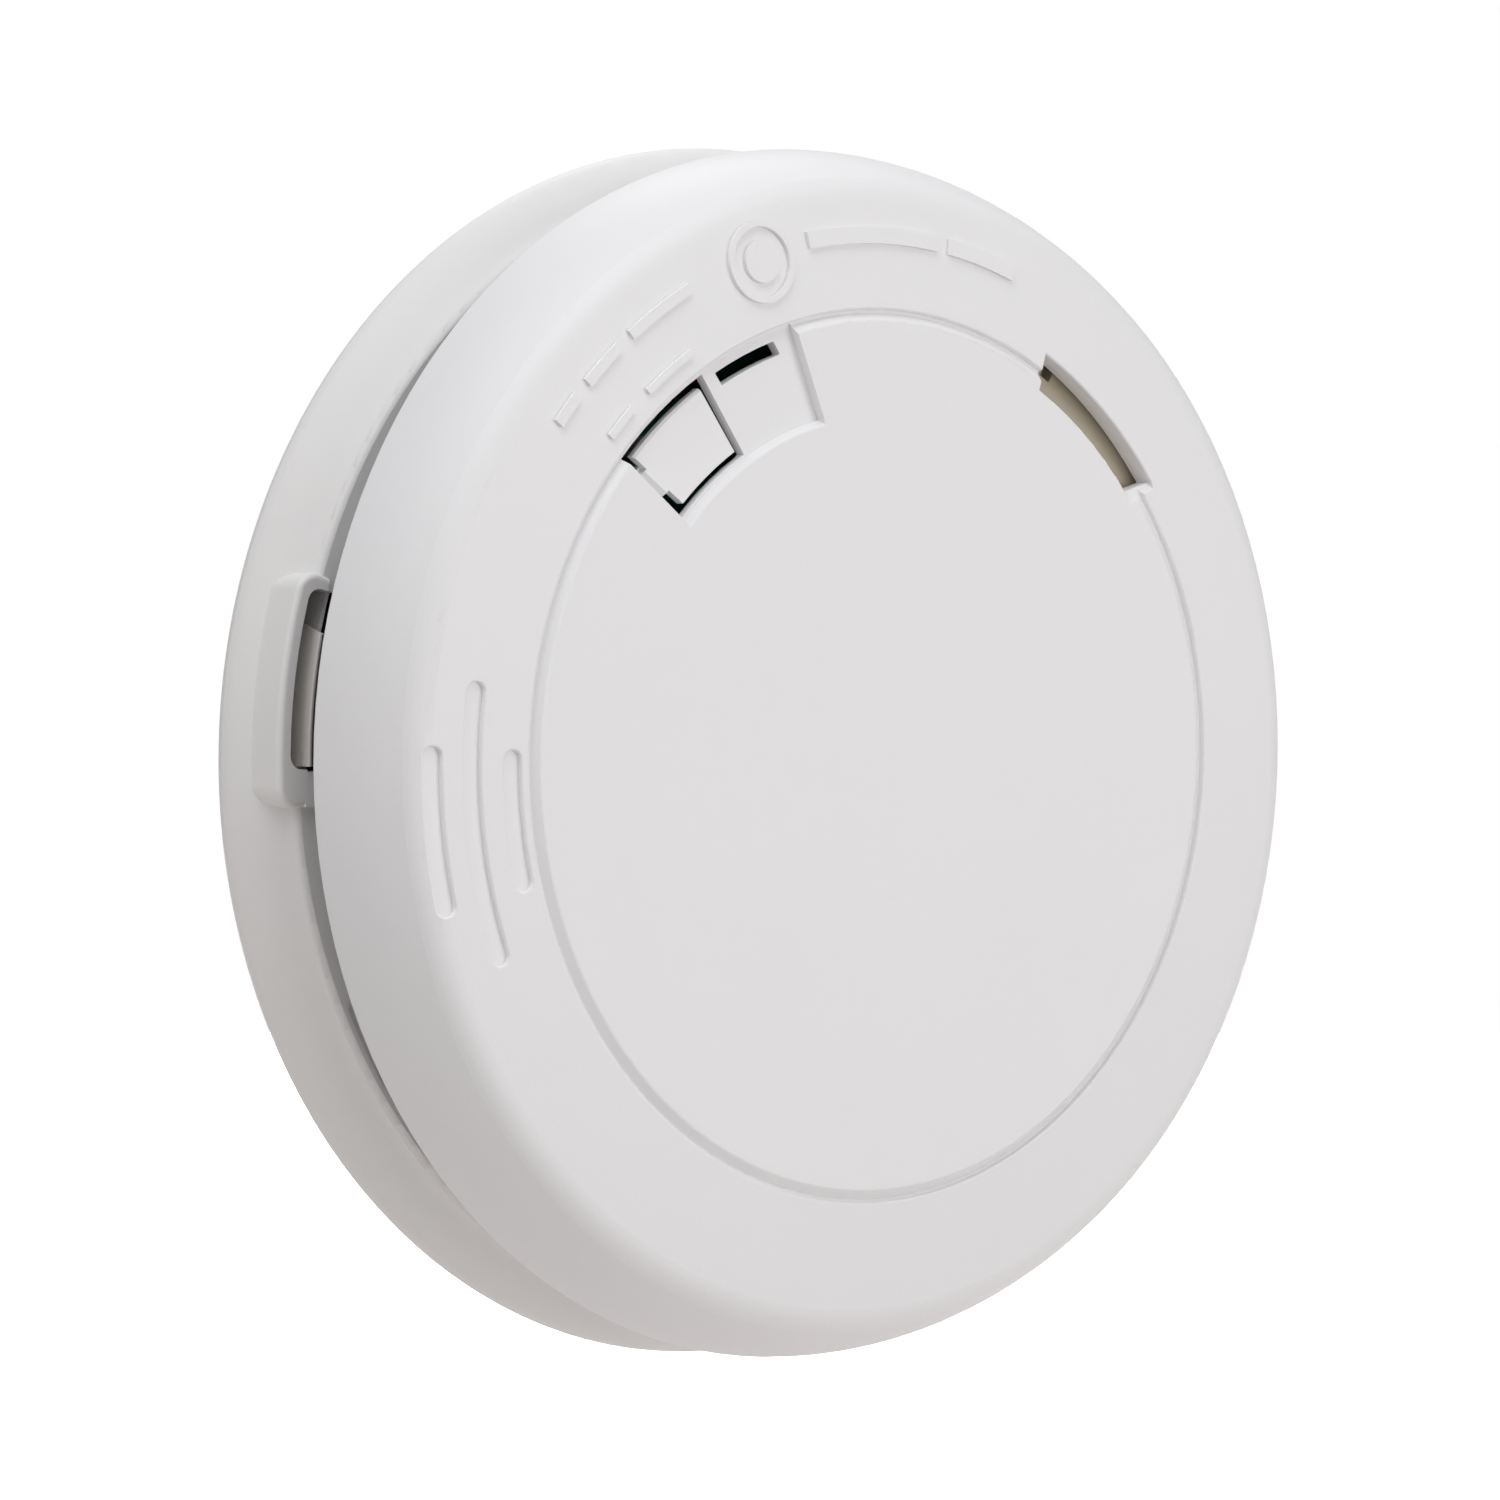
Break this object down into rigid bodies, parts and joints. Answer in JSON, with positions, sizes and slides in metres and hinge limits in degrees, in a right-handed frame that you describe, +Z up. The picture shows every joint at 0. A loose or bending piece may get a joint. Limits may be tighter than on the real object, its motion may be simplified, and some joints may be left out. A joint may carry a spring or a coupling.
{
  "type": "smoke detector",
  "caption": "Round wall or ceiling smoke alarm with sealed battery, corner test button and horn opening, twisted onto a bracket with a latch finger.",
  "frame": {"origin": "centre of the bracket's back plate, in the plane of the wall, midway between the two screw slots", "axes": "+Y into the wall, -Y out towards the room along the alarm's axis, +Z up, +X to the right as seen from the room"},
  "size_m": [0.143, 0.0325, 0.143],
  "materials": {
    "cover_plastic": "fine matte mould texture",
    "bracket_plastic": "matte",
    "finger_plastic": "matte",
    "housing_plastic": "matte",
    "label_film": "satin film, no lettering",
    "screw_steel": "zinc plated",
    "button_plastic": "fine matte mould texture",
    "board_laminate": "green solder mask",
    "black_plastic": "matte",
    "plunger_plastic": "matte",
    "green_lens": "tinted clear",
    "red_lens": "tinted clear",
    "chip_epoxy": "matte",
    "ferrite": "matte",
    "capacitor_sleeve": "sleeved",
    "resistor_ceramic": "matte",
    "chamber_black": "matte, light absorbing",
    "screen_steel": "fine mesh",
    "screen_black": "fine black mesh",
    "clear_epoxy": "clear epoxy",
    "dark_epoxy": "dark epoxy",
    "shield_tin": "tinned",
    "horn_beige": "matte",
    "horn_ring_rubber": "matte",
    "disc_brass": "rolled",
    "ceramic_white": "silvered ceramic",
    "contact_brass": "plated",
    "cell_sleeve": "shrink sleeve, no lettering",
    "nickel_strip": "nickel plated",
    "slider_plastic": "matte",
    "black_slider": "matte"
  },
  "bodies": {
    "bracket": {"mounting_bracket": "bracket_plastic"},
    "alarm": {"front_cover": "cover_plastic", "rear_housing": "housing_plastic", "rear_label": "label_film", "cover_screws": "screw_steel", "board_screws": "screw_steel", "circuit_board": "board_laminate", "test_switch_body": "black_plastic", "led_holder": "black_plastic", "power_led": "green_lens", "alarm_led": "red_lens", "microcontroller": "chip_epoxy", "horn_driver": "chip_epoxy", "boost_inductor": "ferrite", "capacitors": "capacitor_sleeve", "resistors": "resistor_ceramic", "chamber_base": "chamber_black", "chamber_cap": "chamber_black", "chamber_screen": "screen_steel", "insect_screen": "screen_black", "infrared_emitter": "clear_epoxy", "photodiode": "dark_epoxy", "photodiode_shield": "shield_tin", "horn_housing": "horn_beige", "horn_ring": "horn_ring_rubber", "horn_disc": "disc_brass", "horn_ceramic": "ceramic_white", "horn_contacts": "contact_brass", "battery_cell": "cell_sleeve", "battery_tab_positive": "nickel_strip", "battery_tab_negative": "nickel_strip", "activation_contacts": "contact_brass"},
    "latch": {"latch_finger": "finger_plastic"},
    "button": {"test_button": "button_plastic"},
    "switch_plunger": {"test_switch_plunger": "plunger_plastic"},
    "activation": {"activation_slider": "slider_plastic"},
    "deactivation": {"deactivation_slider": "black_slider"}
  },
  "joints": [
    {"name": "alarm_twist", "type": "hinge", "parent": "bracket", "child": "alarm", "pos_m": [0, 0, 0], "axis": [0, -1, 0], "range_deg": [0, 14]},
    {"name": "latch_flex", "type": "hinge", "parent": "bracket", "child": "latch", "pos_m": [-0.06635, -0.006, -0.00266], "axis": [0, -1, 0], "range_deg": [0, 5], "stiffness_Nm_per_rad": 0.05, "springref_deg": -2.86},
    {"name": "test_button_press", "type": "hinge", "parent": "alarm", "child": "button", "pos_m": [-0.0345, -0.02935, 0.029], "axis": [-0.7901, 0, 0.613], "range_deg": [0, 3], "stiffness_Nm_per_rad": 0.1, "springref_deg": -2.01},
    {"name": "test_switch_travel", "type": "slide", "parent": "alarm", "child": "switch_plunger", "axis": [0, 1, 0], "range_m": [0, 0.0005]},
    {"name": "activation_turn", "type": "hinge", "parent": "alarm", "child": "activation", "pos_m": [0, 0, 0], "axis": [0, -1, 0], "range_deg": [-14, 0]},
    {"name": "deactivation_slide", "type": "slide", "parent": "alarm", "child": "deactivation", "axis": [1, 0, 0], "range_m": [0, 0.006]}
  ],
  "couplings": [
    {"joint": "test_switch_travel", "follows": "test_button_press", "m_per_rad": 0.008},
    {"joint": "activation_turn", "follows": "alarm_twist", "ratio": -1}
  ]
}
